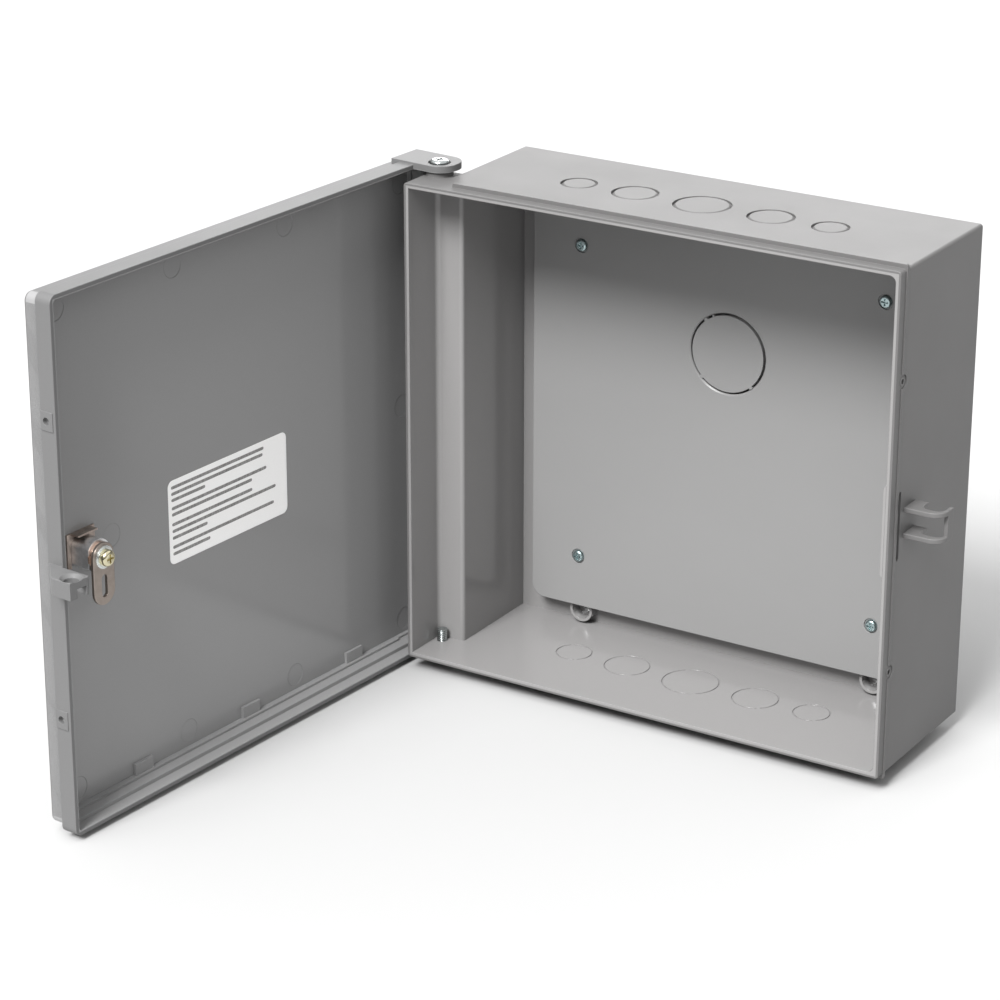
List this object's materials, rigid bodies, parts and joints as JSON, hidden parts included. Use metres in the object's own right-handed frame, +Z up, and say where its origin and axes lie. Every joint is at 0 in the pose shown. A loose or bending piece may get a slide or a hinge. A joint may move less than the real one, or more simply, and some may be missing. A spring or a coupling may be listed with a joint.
{
  "type": "wall-mount electrical enclosure",
  "caption": "Square wall-mounted moulded plastic enclosure with a side-hinged cover standing open, a flat back plate, knockouts, a padlock staple and a cam lock.",
  "frame": {"origin": "centre of the four wall-bolt holes, on the outer back face", "axes": "+X to the right seen from the front, +Y from the front into the wall, +Z up; the cover opens towards -Y"},
  "size_m": [0.4129, 0.4137, 0.3232],
  "materials": {
    "box_plastic": "fine satin texture outside, smoother inside, light grey",
    "plate_plastic": "semi-gloss light grey",
    "zinc_steel": "bright zinc plate with a faint blue tint",
    "yellow_zinc": "yellow zinc plate, glossy",
    "lock_chrome": "polished nickel-chrome plate",
    "cam_nickel": "warm dull nickel plate",
    "copper_washer": "copper-tinted plate",
    "key_brass": "satin brass",
    "gasket_black": "matte black",
    "label_white": "printed white film label"
  },
  "bodies": {
    "enclosure": {"enclosure_box": "box_plastic", "back_plate": "plate_plastic", "back_plate_screws": "zinc_steel", "hinge_screws": "zinc_steel"},
    "cover": {"door_cover": "box_plastic", "door_label": "label_white", "lock_housing": "lock_chrome", "lock_gasket": "gasket_black", "lock_retaining_clip": "cam_nickel"},
    "lock_core": {"lock_plug": "lock_chrome", "lock_key": "key_brass", "lock_stop_washer": "copper_washer", "lock_cam": "cam_nickel", "lock_flat_washer": "zinc_steel", "lock_spring_washer": "zinc_steel", "cam_screw": "yellow_zinc", "lock_wafer_1": "key_brass", "lock_wafer_2": "key_brass", "lock_wafer_3": "key_brass", "lock_wafer_4": "key_brass", "lock_wafer_5": "key_brass", "lock_wafer_spring_1": "key_brass", "lock_wafer_spring_2": "key_brass", "lock_wafer_spring_3": "key_brass", "lock_wafer_spring_4": "key_brass", "lock_wafer_spring_5": "key_brass"}
  },
  "joints": [
    {"name": "cover_hinge", "type": "hinge", "parent": "enclosure", "child": "cover", "pos_m": [-0.1619, -0.0794, 0], "axis": [0, 0, -1], "range_deg": [-94.3, 60.7]},
    {"name": "lock_turn", "type": "hinge", "parent": "cover", "child": "lock_core", "pos_m": [-0.18344, -0.36589, 0], "axis": [-0.9972, 0.075, 0], "range_deg": [0, 90]}
  ]
}
